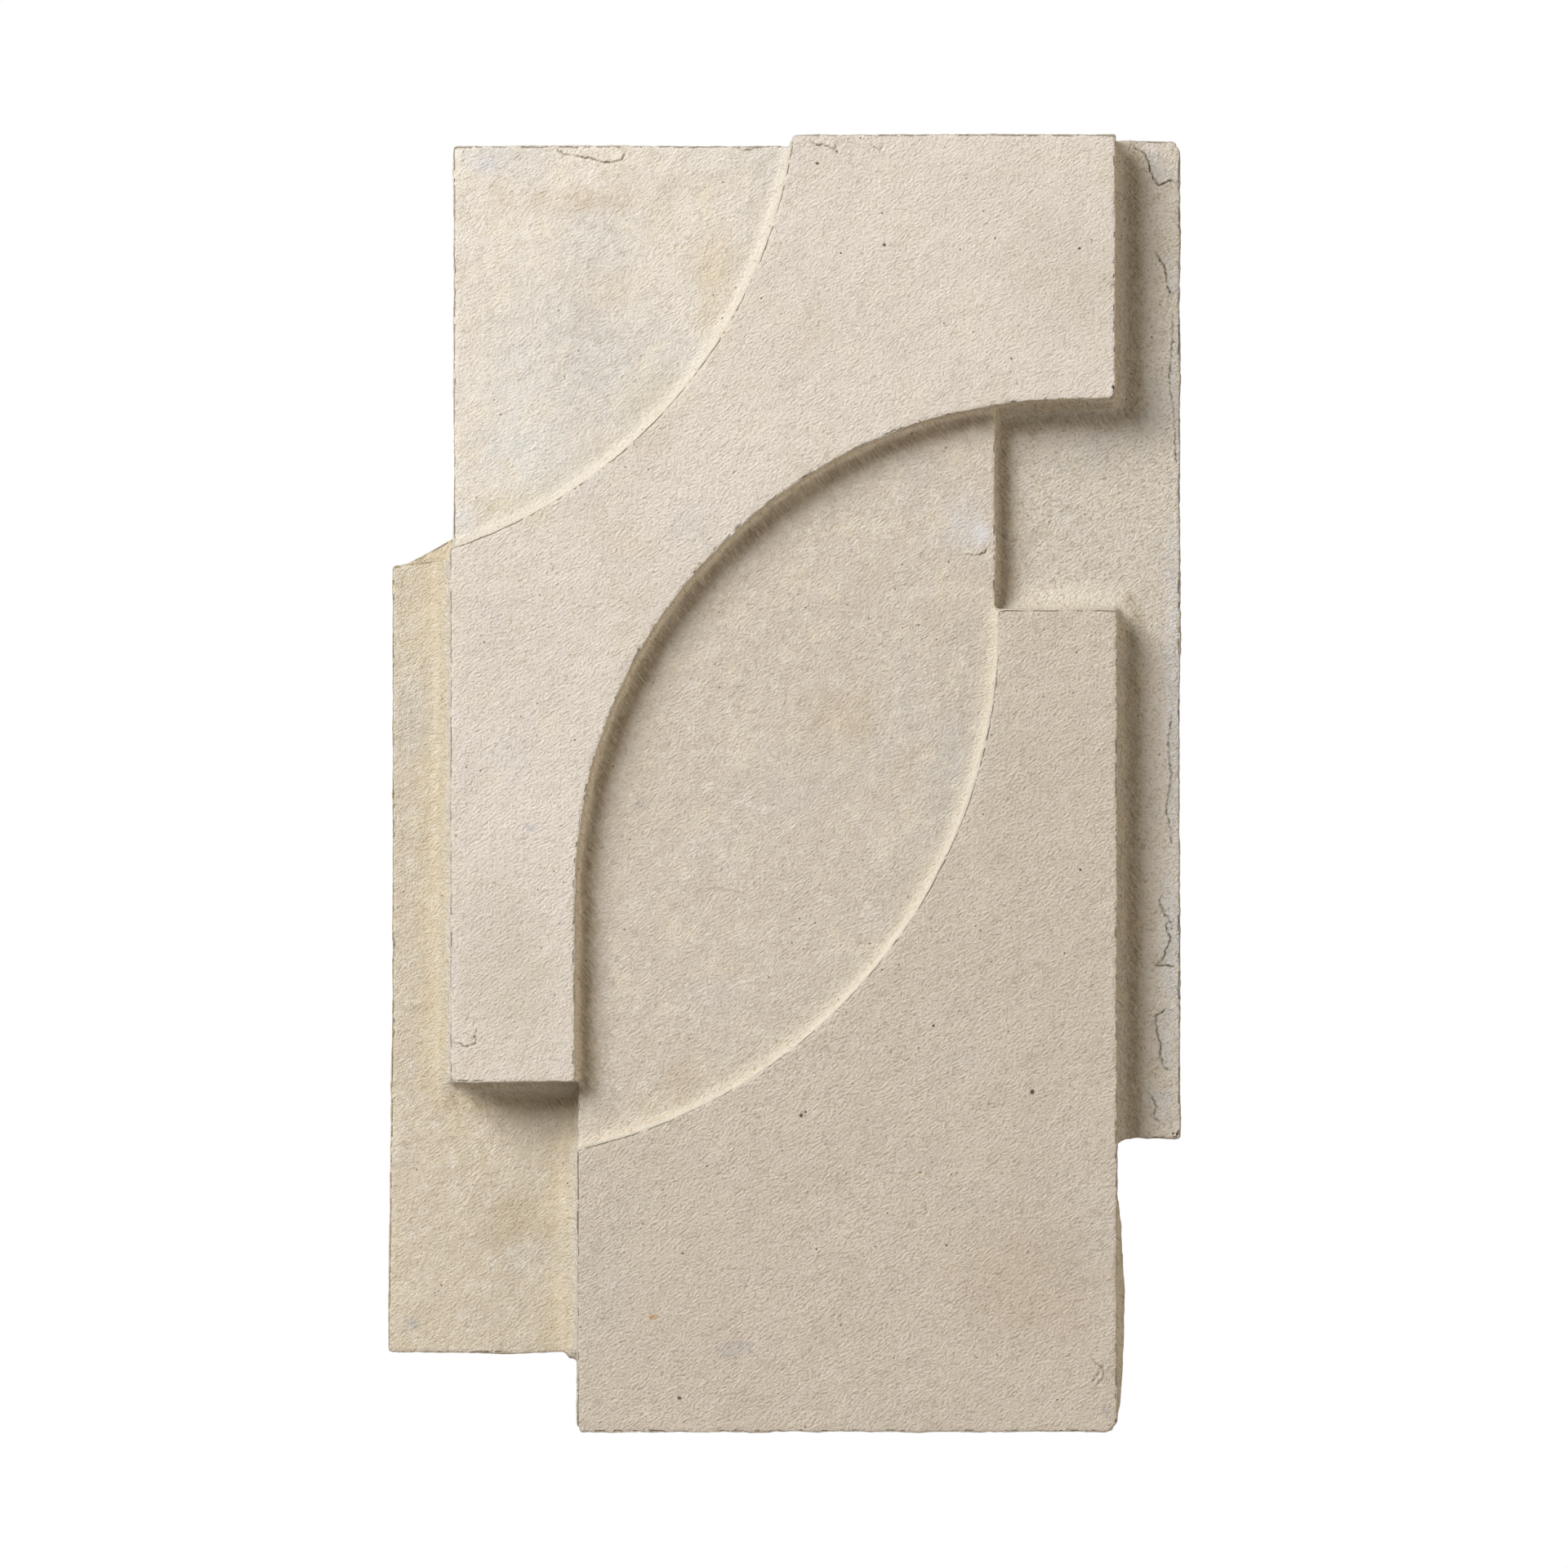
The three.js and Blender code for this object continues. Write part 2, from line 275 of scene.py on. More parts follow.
def beside(places, face, line):
    """How far each place lies from a line on a face, and how far to its left, in millimetres, with
    the number of the nearest stretch. Places off the face or far away count as endlessly far."""
    flat, depth = places[:, [0, 2]] / MM, -places[:, 1] / MM
    ends = np.array(line)
    low, high = ends.min(0) - 12, ends.max(0) + 12
    near = np.nonzero(((flat > low) & (flat < high)).all(1) & (np.abs(depth - face) < 3))[0]
    gaps, lefts = np.full(len(places), np.inf), np.zeros(len(places))
    stretch = np.zeros(len(places), int)
    for k, (a, b) in enumerate(zip(ends, ends[1:])):
        way = b - a
        off = flat[near] - a
        along = np.clip(off @ way / (way @ way), 0, 1)
        gap = np.linalg.norm(off - along[:, None] * way, axis=1)
        closer = gap < gaps[near]
        members = near[closer]
        gaps[members] = gap[closer]
        lefts[members] = (np.sign(way[0] * off[:, 1] - way[1] * off[:, 0]) * gap)[closer]
        stretch[members] = k
    return gaps, lefts, stretch


def tear(skin):
    """Cuts the skin finer along each tear, then sinks the tear and lifts the layer beside it."""
    chance = random.Random(5)
    lines = [(face, lift, pale, wander(points, chance)) for face, lift, pale, points in TEARS]

    for reach, cuts in ((3.5, 1), (1.8, 2)):
        faces = skin.data.polygons
        middles = rows(faces, "center")
        gap = np.min([beside(middles, face, line)[0] for face, _, _, line in lines], axis=0)
        only(skin)
        bpy.ops.object.mode_set(mode="EDIT")
        bpy.ops.mesh.select_all(action="DESELECT")
        bpy.ops.object.mode_set(mode="OBJECT")
        faces.foreach_set("select", gap < reach)
        bpy.ops.object.mode_set(mode="EDIT")
        bpy.ops.mesh.select_mode(type="FACE")
        bpy.ops.mesh.subdivide(number_cuts=cuts)
        bpy.ops.mesh.select_all(action="SELECT")
        bpy.ops.mesh.quads_convert_to_tris()
        bpy.ops.object.mode_set(mode="OBJECT")

    places = rows(skin.data.vertices, "co")
    out, torn, plates = (np.zeros(len(places)) for _ in range(3))
    for face, lift, pale, line in lines:
        gaps, lefts, stretch = beside(places, face, line)
        count = len(line) - 1
        # A tear fades at its ends, some of its stretches have closed, and a flat one is narrow
        open_here = (fading(count, 3) * [chance.uniform(0.3, 1) for _ in range(count)])[stretch]
        open_here *= min(1, 0.4 + lift * 0.65)
        lifted = np.exp(-np.clip(lefts, 0, None) / LIFT_REACH) * (lefts > 0) * np.isfinite(gaps)
        out += lift * LIFT_HEIGHT * lifted * open_here
        sunk = np.exp(-(gaps / TEAR_WIDTH) ** 2) * open_here
        out -= TEAR_DEPTH * sunk
        torn = np.maximum(torn, sunk)
        if pale:
            limed = np.clip(2 - 2 * gaps / pale, 0, 1) * (lefts > 0) * fading(count, 4)[stretch]
            plates = np.maximum(plates, limed)
    places[:, 1] -= out * MM
    move_corners(skin, places)
    mark(skin, "torn", torn)
    mark(skin, "plates", plates)


# Outer corners that are pressed round: x, z, the way into the panel along x and z, and radius, mm
WORN_CORNERS = [
    (210.9, 341.9, -1, -1, 7.0),
    (176.8, -343.4, -1, 1, 8.5),
    (-112.0, -343.1, 1, 1, 5.5),
]


def wear_corners(skin):
    """Draws the square at each worn corner in to a quarter circle."""
    places = rows(skin.data.vertices, "co")
    for x, z, in_x, in_z, radius in WORN_CORNERS:
        middle = np.array((x + in_x * radius, z + in_z * radius)) * MM
        out = places[:, [0, 2]] - middle
        here = (out * (-in_x, -in_z) > 0).all(axis=1)
        drawn_in = np.abs(out[here]).max(axis=1) / np.hypot(*out[here].T)
        places[np.ix_(here, [0, 2])] = middle + out[here] * drawn_in[:, None]
    move_corners(skin, places)


VOXEL = 1.1  # mm
TRIANGLES = 145000  # that the skin keeps before its tears are cut finer

# Unevenness: name, mm between lumps, detail, strength in mm, the noise's level that stays in
# place, and the part of the skin that it works on
UNEVEN = [
    ("sag", 55, 1, 1.5, 0.62, "front"),
    ("lumps", 14, 2, 1.2, 0.58, "front"),
    ("crinkle", 6.5, 2, 0.45, 0.56, "front"),
    ("wavy edge", 22, 2, 1.6, 0.56, "rim"),
    ("deckle", 4.5, 3, 1.0, 0.58, "rim"),
    ("pulp", 3.4, 1, 0.55, 0.55, "front"),
    ("ripples", 5, 2, 1.0, 0.55, "back panel"),
]


def make_skin():
    """The pulp skin: the plaque's solid, worked over finely with lumps, deckled edges and tears."""
    skin = bpy.data.objects.new("pulp_skin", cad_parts["relief_plaque"].data.copy())
    scene.collection.objects.link(skin)
    only(skin)
    bpy.ops.object.mode_set(mode="EDIT")
    bpy.ops.mesh.select_all(action="SELECT")
    bpy.ops.mesh.remove_doubles(threshold=0.01 * MM)
    bpy.ops.object.mode_set(mode="OBJECT")

    lines = wall_lines(skin)

    # A pinch of pulp squeezed out under the left panel, against the slab
    bpy.ops.mesh.primitive_ico_sphere_add(subdivisions=3, radius=3 * MM, scale=(1.3, 2.0, 1.1),
                                          location=(-114 * MM, -8 * MM, -304 * MM))
    pinch = bpy.context.object
    bpy.ops.object.transform_apply()
    only(skin)
    pinch.select_set(True)
    bpy.ops.object.join()

    modify(skin, "REMESH", mode="VOXEL", voxel_size=VOXEL * MM)
    wear_corners(skin)

    # The flat back stays flat, and the skin grows uneven within 3 mm of it
    depth = rows(skin.data.vertices, "co")[:, 1] / MM
    turned = np.abs(rows(skin.data.vertices, "normal")[:, 1])
    off_wall = np.clip(-depth / 3, 0, 1)
    weigh(skin, "front", off_wall)
    weigh(skin, "rim", off_wall * np.clip((0.985 - turned) / 0.25, 0, 1))
    weigh(skin, "back panel", off_wall * np.clip(1 - (np.abs(depth + BACK) - 3) / 3, 0, 1))
    for name, size, detail, strength, middle, group in UNEVEN:
        modify(skin, "DISPLACE", texture=clouds(name, size, detail), strength=strength * MM,
               mid_level=middle, texture_coords="LOCAL", vertex_group=group)

    # Each of the remesh's squares counts as two triangles
    modify(skin, "DECIMATE", ratio=TRIANGLES / (len(skin.data.polygons) * 2))
    tear(skin)

    # Nothing stands out of the plaque's own box
    places = rows(skin.data.vertices, "co")
    move_corners(skin, np.clip(places, np.array(cad_low), np.array(cad_high)))

    only(skin)
    bpy.ops.object.shade_smooth_by_angle(angle=math.radians(60))
    for face in skin.data.polygons:
        if face.normal.y > 0.99:  # the flat back
            face.use_smooth = False
    near_walls(skin, lines)
    return skin


def wall_lines(solid):
    """Points half a millimetre apart along the brows and the feet of the solid's walls.

    A brow is a panel's front edge, and a foot the line where a wall has run out on the panel
    below. Walls that face up and left are lit, and the others dark. With each brow's points
    comes the way that its wall faces.
    """
    mesh = solid.data
    places, normals = rows(mesh.vertices, "co"), rows(mesh.polygons, "normal")
    middles = rows(mesh.polygons, "center")
    flat_face = normals[:, 1] < -0.9999

    # The two triangles that meet in each edge, and the edge's two ends
    edge_of_loop = np.empty(len(mesh.loops), int)
    mesh.loops.foreach_get("edge_index", edge_of_loop)
    triangles = np.argsort(edge_of_loop, kind="stable").reshape(-1, 2) // 3
    ends = np.empty(len(mesh.edges) * 2, int)
    mesh.edges.foreach_get("vertices", ends)

    lines = {name: [] for name in ("lit_brow", "dark_brow", "lit_foot", "dark_foot")}
    for (first, second), (a, b) in zip(triangles, ends.reshape(-1, 2)):
        if flat_face[first] == flat_face[second]:
            continue
        slope = second if flat_face[first] else first
        faces_to = np.array((normals[slope, 0], 0, normals[slope, 2]))
        faces_to /= max(np.linalg.norm(faces_to), 1e-9)
        side = "lit" if faces_to[2] > faces_to[0] else "dark"
        end = "brow" if middles[slope, 1] > places[a, 1] else "foot"
        way = places[b] - places[a]
        steps = max(1, round(np.linalg.norm(way) / (0.5 * MM)))
        for k in range(steps):
            lines[f"{side}_{end}"].append((places[a] + way * (k + 0.5) / steps, faces_to))
    return lines


def near_walls(skin, lines, reach=25):
    """Marks each point with its distance from the nearest brow and foot of each kind, in
    millimetres. Behind a brow, on its panel's face, the distance is negative."""
    places = rows(skin.data.vertices, "co")
    for name, points in lines.items():
        tree = KDTree(len(points))
        for i, (point, _) in enumerate(points):
            tree.insert(point, i)
        tree.balance()
        away = np.empty(len(places))
        for i, place in enumerate(places):
            point, j, gap = tree.find(place)
            behind = (place - np.array(point)) @ points[j][1] < 0
            away[i] = min(gap / MM, reach) * (-1 if behind else 1)
        away[places[:, 1] > -0.5 * MM] = reach  # the flat back
        mark(skin, name, away if "brow" in name else np.abs(away))


# Pulp

RAMP_HEIGHT = 50  # mm off the wall that the panels' ramps span

# Each panel by its height off the wall: the colour of its own batch of pulp, how mottled it is,
# how deep its wrinkles are in millimetres, and its colour in a corner that faces the light: the
# cream of pulp pressed into the corner, which is also painted glow of light thrown back by the lit
# wall
PANELS = {
    0: ("c8bba8", 0.5, 1.2, "c9bda6"),
    LEFT: ("d7cab5", 0.9, 1.1, "d3c3a5"),
    BACK: ("e9e0d3", 0.8, 2.1, "faf2e2"),
    LENS: ("d4c9bc", 0.9, 1.2, "e4d9c4"),
    QUARTER: ("e5ddd2", 1.0, 0.9, "ddd6c9"),
    SLAB: ("dccfc0", 0.4, 1.7, "e8e0d0"),
    ARCH: ("e3dad0", 0.6, 1.1, "e6dfd0"),
}

# Mottling: distance between its lumps in mm, detail, roughness, where in the noise it starts and
# is full, colour, strength, and whether it follows how mottled the panel is
MOTTLES = [
    (70, 3, 0.55, 0.52, 0.70, "cfcdc9", 0.50, True),  # cool clouds of lime
    (48, 3, 0.60, 0.54, 0.74, "c9b798", 0.40, True),  # tea-coloured clouds
    (16, 4, 0.66, 0.52, 0.64, "e6dcc6", 0.45, True),  # cream patches
    (6, 4, 0.68, 0.50, 0.64, "ebe6dc", 0.42, True),
    (4.5, 4, 0.68, 0.52, 0.72, "a99b86", 0.36, False),
    (1.8, 3, 0.70, 0.52, 0.70, "efe9dd", 0.30, False),
]

# Soft marks in the pulp: middle across and up, half width, half height, colour, strength, and how
# far it is broken up into flakes
STAINS = [
    (-100, 309, 44, 12, "c2ae92", 0.45, 0.3),  # brownish smudge on the quarter panel
    (-62, 318, 44, 12, "cdc4b4", 0.45, 0.3),
    (-38, 262, 16, 60, "ddccaa", 0.45, 0.3),  # ochre along the upper arc
    (-70, 205, 30, 24, "e0d2b2", 0.40, 0.3),
    (-140, 146, 34, 14, "d6cba9", 0.40, 0.0),
    (-118, 220, 66, 80, "dbd8d3", 0.65, 0.6),  # flaked lime
    (-105, 225, 60, 60, "c6bfb4", 0.45, 0.9),
    (-140, 180, 34, 46, "e8e6e0", 0.65, 0.85),
    (-157, 331, 22, 14, "d8dae0", 0.55, 0.5),
    (-171, 139, 10, 12, "d3d8e2", 0.50, 0.6),
    (94, 138, 17, 24, "d9dadd", 0.60, 0.5),  # lens panel, by its right edge
    (104, 132, 8, 12, "e6e7ea", 0.65, 0.1),
    (-77, -12.4, 5, 5, "8f98ac", 0.50, 0.5),  # small blue ones
    (-134, -24, 7, 3, "9a9eb2", 0.50, 0.5),
    (-27, -299, 17, 6, "a3a7b8", 0.45, 0.7),
    (-200, -288, 6, 7, "9ca4b8", 0.45, 0.7),
    (-140, -235, 40, 26, "bda785", 0.35, 0.2),  # tea-coloured patch low on the left panel
    (29, 34, 40, 30, "c2ae8b", 0.30, 0.2),
    (206, 60, 8, 150, "e3e5ea", 0.65, 0.6),  # lime on the back panel's right edge
    (205, -90, 10, 80, "e6e8ec", 0.70, 0.6),
    (199, -168, 12, 9, "d9dce4", 0.60, 0.5),
    (-60, -235, 50, 45, "e0d3c0", 0.50, 0.2),  # slab, paler on its left and warmer on its right
    (125, -262, 60, 60, "c6b499", 0.35, 0.1),
    (-145, -105, 45, 80, "cbbfaa", 0.40, 0.1),  # foot of the leg
    (150, 265, 70, 70, "cdc3b5", 0.35, 0.1),
    (-78, 20, 26, 120, "c4b8a4", 0.35, 0.3),
    (-190, 95, 24, 55, "e0d3bb", 0.50, 0.3),
    (170, -332, 7, 6, "a8a6ab", 0.45, 0.5),  # greyed lower corners of the slab
    # painted shade where the worn lower right corner turns away from the light
    (175, -341, 4, 4, "8d8272", 0.45, 0.3),
    (-105, -339, 6, 4, "a9a59c", 0.40, 0.4),
    (9, -175, 3, 3, "8d7350", 0.75, 0.3),  # brown pit
    (-70, -282, 5, 2.2, "c29a5c", 0.80, 0.2),  # ochre fleck
    (74, -206.5, 1.4, 1, "d0aa3c", 0.90, 0.0),
]

# Bits of grit and fibre: across, up, half width, half height
GRIT = [
    (16.6, 327.4, 1.3, 0.9), (52, 284.3, 1.1, 1.2), (29, 280, 0.7, 0.7), (155, 282.5, 1.0, 0.8),
    (119, 224.3, 0.7, 0.7), (172.7, 209.3, 1.0, 1.3), (50.7, 301, 0.6, 0.6), (92, 282, 0.6, 0.6),
    (130.2, -163, 1.5, 1.6), (155.6, -45.6, 0.9, 0.9), (78, -128, 0.9, 0.9),
    (87.4, -206.5, 0.6, 0.6), (84.8, -244, 0.8, 0.7), (-56.3, -324.8, 1.4, 1.2),
    (-54.5, -248.4, 1.2, 0.5), (16.2, -246.2, 0.6, 0.6), (208.2, -186.6, 0.8, 0.8),
    (206, -186.4, 0.8, 0.8), (8, -175.5, 1.0, 1.2), (10.4, -173.6, 0.8, 0.8),
]


def pulp_material():
    """Cast and pressed paper pulp, unglazed and sized with a little lime: dead matt and off-white,
    wrinkled like felt, creamier where it was pressed into corners, with bits of fibre and grit.
    Some light and shade is painted into its colour: glow by the walls that face the light, shade in
    the wrinkles and at the feet of the walls turned from the light, and pale light on those walls."""
    material = bpy.data.materials.new("pressed paper pulp")
    material.use_nodes = True
    tree = material.node_tree
    tree.nodes.clear()

    place = add(tree, "ShaderNodeTexCoord").outputs["Object"]
    mm = add(tree, "ShaderNodeVectorMath", {0: place, "Scale": 1 / MM}, operation="SCALE")
    depth = add(tree, "ShaderNodeSeparateXYZ", {0: mm}).outputs["Y"]
    normal = add(tree, "ShaderNodeNewGeometry").outputs["Normal"]

    # Each panel's own values, as stops of ramps over the height off the wall
    share = add(tree, "ShaderNodeMath", {0: depth, 1: -1 / RAMP_HEIGHT}, operation="MULTIPLY")
    ramps = [add(tree, "ShaderNodeValToRGB", {0: share}) for _ in range(4)]
    for k, ramp in enumerate(ramps):
        stops = ramp.color_ramp.elements
        while len(stops) < len(PANELS):
            stops.new(0.5)
        for stop, (height, values) in zip(stops, PANELS.items()):
            value = values[k]
            stop.position = height / RAMP_HEIGHT
            stop.color = srgb(value) if isinstance(value, str) else (value, value, value, 1)
    batch, mottled, wrinkled, pressed = ramps

    colour = batch
    for size, detail, rough, start, full, code, strength, by_panel in MOTTLES:
        lumps = add(tree, "ShaderNodeTexNoise",
                    {"Vector": mm, "Scale": 1 / size, "Detail": detail, "Roughness": rough})
        mask = add(tree, "ShaderNodeMapRange",
                   {"Value": lumps, "From Min": start, "From Max": full, "To Max": strength},
                   **SMOOTH)
        if by_panel:
            mask = add(tree, "ShaderNodeMath", {0: mask, 1: mottled}, operation="MULTIPLY")
        colour = add(tree, "ShaderNodeMix", {0: mask, 6: colour, 7: srgb(code)}, **COLOURS)

    # Stains have ragged rims, and lime has come off in flakes
    ragged = add(tree, "ShaderNodeTexNoise",
                 {"Vector": mm, "Scale": 1 / 13, "Detail": 4, "Roughness": 0.62})
    flakes = add(tree, "ShaderNodeTexNoise",
                 {"Vector": mm, "Scale": 1 / 4.5, "Detail": 4, "Roughness": 0.68,
                  "Distortion": 0.3})
    flakes = add(tree, "ShaderNodeMapRange",
                 {"Value": flakes, "From Min": 0.47, "From Max": 0.56}, **SMOOTH)
    for x, z, wide, high, code, strength, broken in STAINS:
        spot = add(tree, "ShaderNodeMapping", {"Vector": mm, "Location": (-x / wide, 0, -z / high),
                                               "Scale": (1 / wide, 0, 1 / high)})
        away = add(tree, "ShaderNodeVectorMath", {0: spot}, operation="LENGTH")
        away = add(tree, "ShaderNodeMath", {0: away, 1: ragged}, operation="ADD")
        mask = add(tree, "ShaderNodeMapRange",
                   {"Value": away, "From Min": 1.45, "From Max": 0.55, "To Max": strength},
                   **SMOOTH)
        if broken:
            whole = add(tree, "ShaderNodeMapRange", {"Value": flakes, "To Min": 1 - broken})
            mask = add(tree, "ShaderNodeMath", {0: mask, 1: whole}, operation="MULTIPLY")
        colour = add(tree, "ShaderNodeMix", {0: mask, 6: colour, 7: srgb(code)}, **COLOURS)

    # How far the surface turns from the front, and whether it turns to the light above and left
    facing = add(tree, "ShaderNodeSeparateXYZ", {0: normal})
    slope, wall = (add(tree, "ShaderNodeMapRange",
                       {"Value": facing.outputs["Y"], "From Min": low, "From Max": high}, **SMOOTH)
                   for low, high in ((-0.985, -0.88), (-0.95, -0.60)))
    up_left = add(tree, "ShaderNodeMath", {0: facing.outputs["Z"], 1: facing.outputs["X"]},
                  operation="SUBTRACT")
    sides = [add(tree, "ShaderNodeMapRange",
                 {"Value": up_left, "From Min": low, "From Max": high}, **SMOOTH)
             for low, high in ((0.0, 0.55), (-0.07, -0.6))]
    lit_wall, dark_wall = (add(tree, "ShaderNodeMath", {0: turned, 1: side}, operation="MULTIPLY")
                           for turned, side in zip((slope, wall), sides))

    # Layers of pulp show on edge in the walls, 1.1 mm apart and torn into short lengths
    layers = add(tree, "ShaderNodeMapping", {"Vector": mm, "Scale": (1 / 14, 1 / 1.1, 1 / 14)})
    layers = add(tree, "ShaderNodeTexNoise",
                 {"Vector": layers, "Scale": 1.0, "Detail": 3, "Roughness": 0.6})
    layer_lines = add(tree, "ShaderNodeMapRange",
                      {"Value": layers, "From Min": 0.56, "From Max": 0.68}, **SMOOTH)
    dashes = add(tree, "ShaderNodeTexNoise",
                 {"Vector": mm, "Scale": 1 / 2.2, "Detail": 2, "Roughness": 0.6, "Distortion": 0.6})
    dashes = add(tree, "ShaderNodeMapRange",
                 {"Value": dashes, "From Min": 0.62, "From Max": 0.68}, **SMOOTH)

    # The top layer has torn open in short lengths along the edges, seldom over a dark wall
    wobble = add(tree, "ShaderNodeTexNoise",
                 {"Vector": mm, "Scale": 1 / 9, "Detail": 4, "Roughness": 0.6})
    lengths = add(tree, "ShaderNodeTexNoise",
                  {"Vector": mm, "Scale": 1 / 7, "Detail": 3, "Roughness": 0.6, "Distortion": 0.4})
    torn_brows = []
    for name, start, full in (("lit_brow", 0.40, 0.50), ("dark_brow", 0.52, 0.58)):
        brow = add(tree, "ShaderNodeAttribute", attribute_name=name).outputs["Fac"]
        brow = add(tree, "ShaderNodeMath", {0: wobble, 1: 1.6, 2: brow}, operation="MULTIPLY_ADD")
        brow = add(tree, "ShaderNodeMath", {0: brow, 1: 0.5}, operation="SUBTRACT")
        brow = add(tree, "ShaderNodeMath", {0: brow}, operation="ABSOLUTE")
        brow = add(tree, "ShaderNodeMapRange",
                   {"Value": brow, "From Min": 0.60, "From Max": 0.10}, **SMOOTH)
        here = add(tree, "ShaderNodeMapRange",
                   {"Value": lengths, "From Min": start, "From Max": full}, **SMOOTH)
        torn_brows.append(add(tree, "ShaderNodeMath", {0: brow, 1: here}, operation="MULTIPLY"))
    torn_lit, torn_dark = torn_brows
    torn, plates = (add(tree, "ShaderNodeAttribute", attribute_name=name).outputs["Fac"]
                    for name in ("torn", "plates"))

    # Near a wall, in mm: how uneven the tint's rim is, where the tint starts, and where it is full
    uneven = add(tree, "ShaderNodeTexNoise", {"Vector": mm, "Scale": 1 / 8, "Detail": 3})
    feet = []
    for name, spread, start, full in (("lit_foot", 10, 16, 0), ("dark_foot", 8, 12, 2)):
        foot = add(tree, "ShaderNodeAttribute", attribute_name=name).outputs["Fac"]
        foot = add(tree, "ShaderNodeMath", {0: uneven, 1: spread, 2: foot},
                   operation="MULTIPLY_ADD")
        feet.append(add(tree, "ShaderNodeMapRange",
                        {"Value": foot, "From Min": start, "From Max": full}, **SMOOTH))
    lit_foot, dark_foot = feet

    # Slanting folds, and long fibres combed down the hollows; their pale and dark streaks are
    # painted highlight and painted shade of the fibres' relief in the shaded hollows
    slant = add(tree, "ShaderNodeMapping",
                {"Vector": mm, "Rotation": (0, math.radians(-35), 0), "Scale": (2.8, 2.8, 0.9)},
                vector_type="TEXTURE")
    folds = add(tree, "ShaderNodeTexNoise",
                {"Vector": slant, "Scale": 1.0, "Detail": 3, "Roughness": 0.6, "Distortion": 0.2})
    combed = add(tree, "ShaderNodeMapping",
                 {"Vector": mm, "Rotation": (0, math.radians(50), 0), "Scale": (5, 5, 0.9)},
                 vector_type="TEXTURE")
    combed = add(tree, "ShaderNodeTexNoise",
                 {"Vector": combed, "Scale": 1.0, "Detail": 3, "Roughness": 0.65,
                  "Distortion": 0.4})
    fibre_highlights, fibre_shade = (add(tree, "ShaderNodeMapRange",
                                    {"Value": combed, "From Min": start, "From Max": full},
                                    **SMOOTH)
                                for start, full in ((0.50, 0.62), (0.46, 0.35)))
    # The walls and feet turned from the light, which lie in shade
    shaded_hollow = add(tree, "ShaderNodeMath", {0: dark_wall, 1: dark_foot}, operation="MAXIMUM")
    patchy = add(tree, "ShaderNodeMapRange", {"Value": flakes, "To Min": 0.45})

    # Tints by the walls: cream where pulp was pressed into a corner, also painted glow where the
    # walls face the light; painted shade in brown at the feet of the walls turned from the light
    # and painted light on those walls, with their torn layer lines; then lime plates and torn
    # lines: where, how it is broken up, its colour and strength
    for side, broken, code, strength in [
        # Cream of pressed pulp on the feet and slopes that face the light, where it is also painted
        # glow
        (lit_foot, None, pressed, 0.60),
        (lit_wall, None, pressed, 0.85),
        # Painted shade: a greyish darkening of the slopes that face the light, so that they light
        # up less
        (lit_wall, None, "8f8876", 0.22),
        (lit_wall, dashes, "a98a55", 0.60),
        # Painted shade in brown at the feet of the walls turned from the light
        (dark_foot, None, "c4ae88", 0.50),
        # Painted light: the walls turned from the light are painted pale, so that they read lighter
        # in shade
        (dark_wall, None, "f2e3cc", 0.95),
        # Painted highlight and painted shade: pale and dark fibre streaks in the shaded hollows
        (shaded_hollow, fibre_highlights, "faf1e0", 0.60),
        (shaded_hollow, fibre_shade, "7a694e", 0.45),
        (dark_wall, layer_lines, "7a6546", 0.30),
        (plates, patchy, "e4e1dd", 0.75),
        (torn, None, "74654e", 0.70),
        (torn_lit, None, "7a6b52", 0.65),
        (torn_dark, None, "5c4d37", 0.55),
    ]:
        mask = add(tree, "ShaderNodeMath", {0: side, 1: strength}, operation="MULTIPLY")
        if broken:
            mask = add(tree, "ShaderNodeMath", {0: mask, 1: broken}, operation="MULTIPLY")
        tint = srgb(code) if isinstance(code, str) else code
        colour = add(tree, "ShaderNodeMix", {0: mask, 6: colour, 7: tint}, **COLOURS)

    # Painted shade in the wrinkles' hollows, stronger on panels with deeper wrinkles
    wrinkles = add(tree, "ShaderNodeTexNoise",
                   {"Vector": mm, "Scale": 1 / 1.4, "Detail": 5, "Roughness": 0.66})
    wrinkle_shade = add(tree, "ShaderNodeMapRange",
               {"Value": wrinkles, "From Min": 0.50, "From Max": 0.34, "To Max": 0.24}, **SMOOTH)
    wrinkle_shade = add(tree, "ShaderNodeMath", {0: wrinkle_shade, 1: wrinkled}, operation="MULTIPLY")
    colour = add(tree, "ShaderNodeMix", {0: wrinkle_shade, 6: colour, 7: srgb("9c8c72")}, **COLOURS)

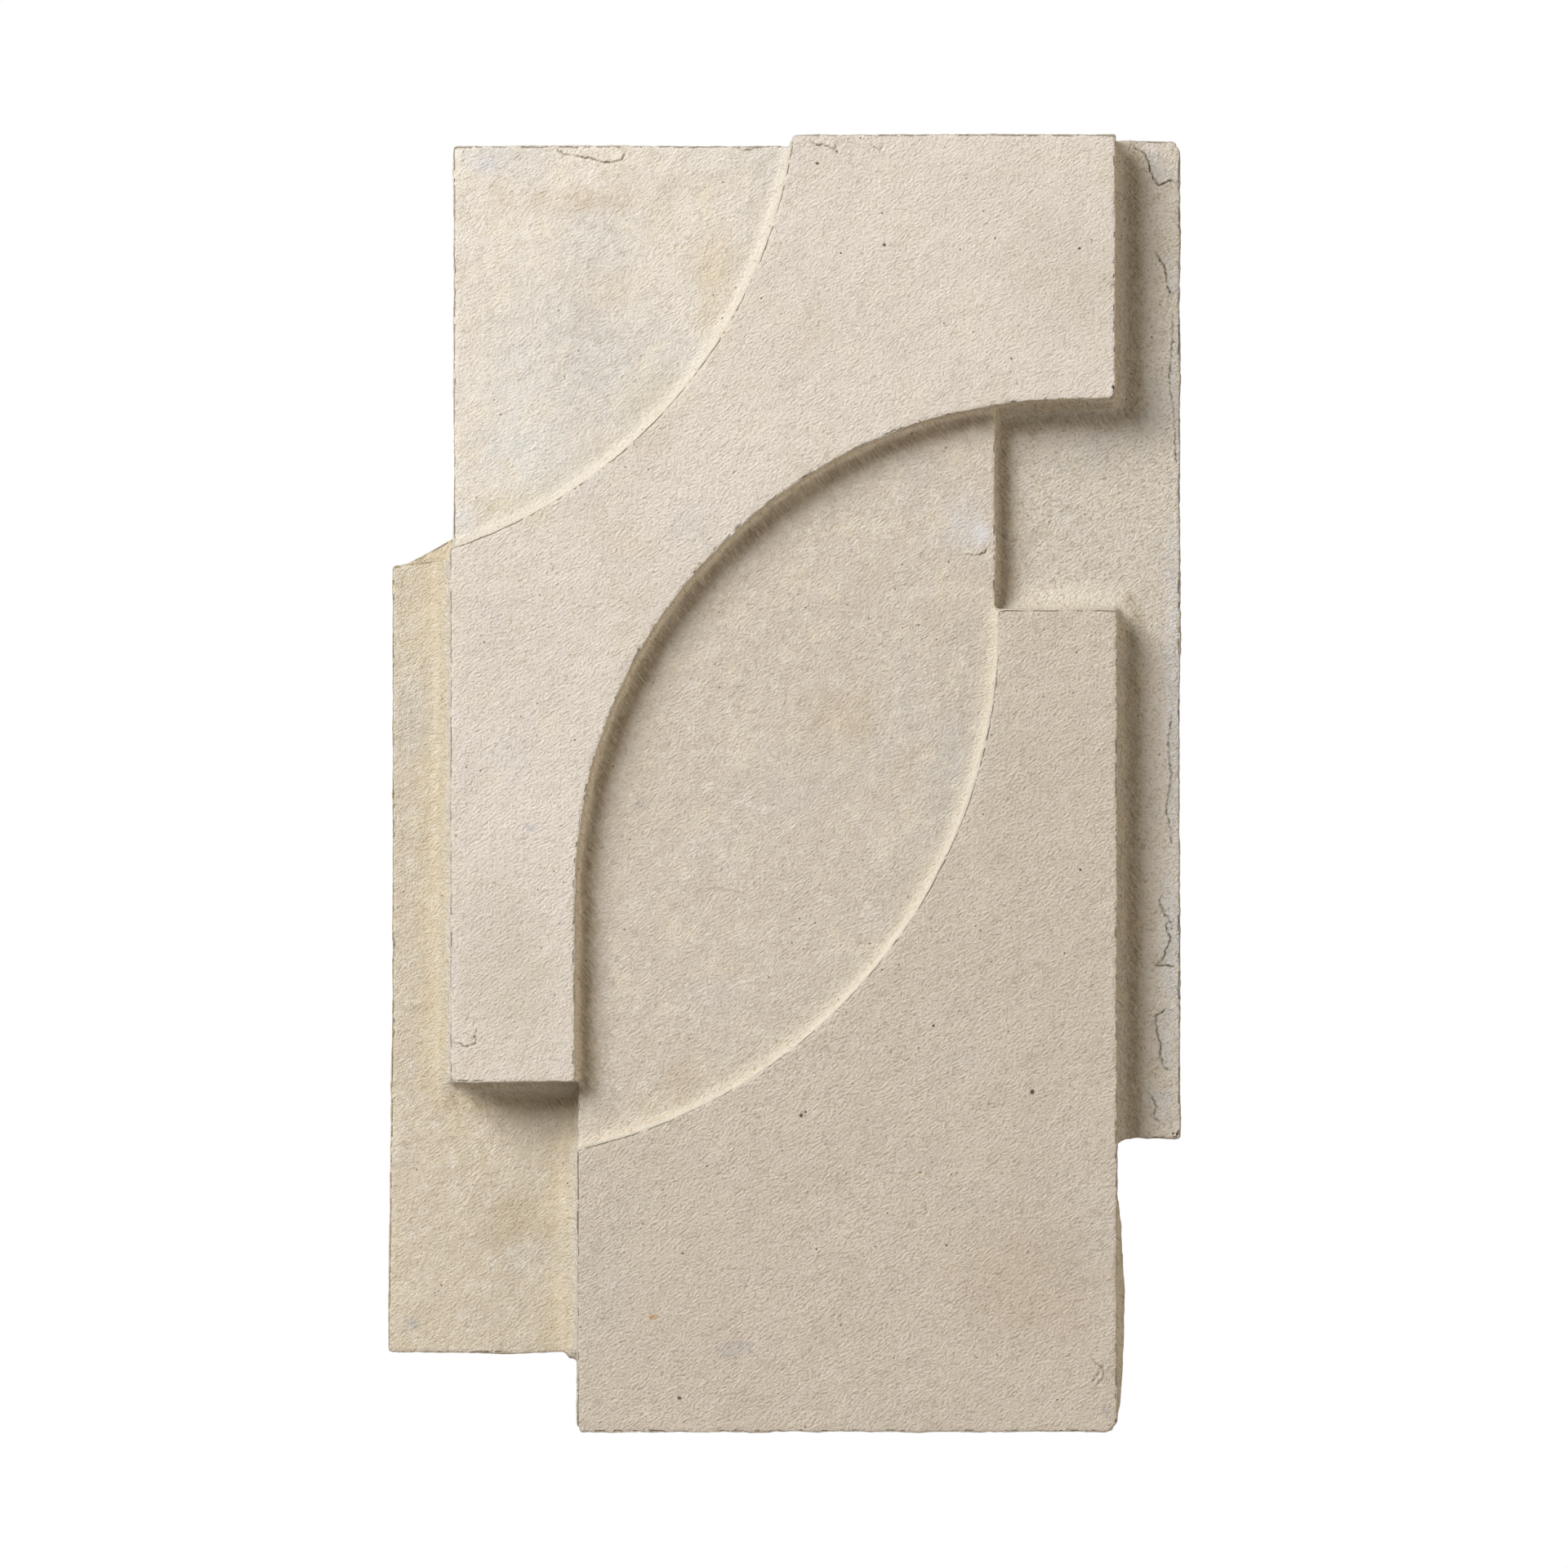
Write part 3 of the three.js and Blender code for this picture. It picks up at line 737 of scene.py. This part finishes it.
    # Grit, flecks and short brown fibres
    for x, z, wide, high in GRIT:
        spot = add(tree, "ShaderNodeMapping", {"Vector": mm, "Location": (-x / wide, 0, -z / high),
                                               "Scale": (1 / wide, 0, 1 / high)})
        away = add(tree, "ShaderNodeVectorMath", {0: spot}, operation="LENGTH")
        mask = add(tree, "ShaderNodeMapRange",
                   {"Value": away, "From Min": 1.0, "From Max": 0.6, "To Max": 0.9})
        colour = add(tree, "ShaderNodeMix", {0: mask, 6: colour, 7: srgb("4a4237")}, **COLOURS)
    speck = add(tree, "ShaderNodeTexVoronoi", {"Vector": mm, "Scale": 1 / 11, "Randomness": 1.0})
    speck = add(tree, "ShaderNodeMapRange",
                {"Value": speck, "From Min": 0.055, "From Max": 0.03, "To Max": 0.75})
    colour = add(tree, "ShaderNodeMix", {0: speck, 6: colour, 7: srgb("7f725d")}, **COLOURS)
    fibre = add(tree, "ShaderNodeTexNoise",
                {"Vector": slant, "Scale": 1.0, "Detail": 2, "Distortion": 0.5})
    fibre = add(tree, "ShaderNodeMapRange",
                {"Value": fibre, "From Min": 0.66, "From Max": 0.74, "To Max": 0.45}, **SMOOTH)
    colour = add(tree, "ShaderNodeMix", {0: fibre, 6: colour, 7: srgb("9a8360")}, **COLOURS)

    # Relief that is finer than the mesh: felt wrinkles 1 to 2 mm across, slanting folds, and
    # the torn layers in the walls
    height = wrinkles
    puckers = add(tree, "ShaderNodeTexNoise", {"Vector": mm, "Scale": 1 / 4.5, "Detail": 2})
    on_edge = add(tree, "ShaderNodeMath", {0: layers, 1: wall}, operation="MULTIPLY")
    fibrous = add(tree, "ShaderNodeMath", {0: combed, 1: shaded_hollow}, operation="MULTIPLY")
    for relief, much in ((folds, 0.75), (puckers, 0.5), (on_edge, 1.0), (fibrous, 1.4),
                         (torn_lit, -0.7), (torn_dark, -0.9), (speck, -0.7)):
        height = add(tree, "ShaderNodeMath", {0: relief, 1: much, 2: height},
                     operation="MULTIPLY_ADD")
    deep = add(tree, "ShaderNodeMath", {0: wrinkled, 1: 1.0 * MM}, operation="MULTIPLY")
    bump = add(tree, "ShaderNodeBump", {"Height": height, "Distance": deep, "Strength": 1.0})

    shader = add(tree, "ShaderNodeBsdfPrincipled",
                 {"Base Color": colour, "Roughness": 0.93, "IOR": 1.47, "Specular IOR Level": 0.3,
                  "Normal": bump})
    add(tree, "ShaderNodeOutputMaterial", {"Surface": shader})
    return material


# The whole

make_camera()
make_lights()
make_floor()
scene.view_settings.view_transform = "Standard"

skin = make_skin()
skin.data.materials.clear()
skin.data.materials.append(pulp_material())
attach(skin, "root")
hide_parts("relief_plaque")
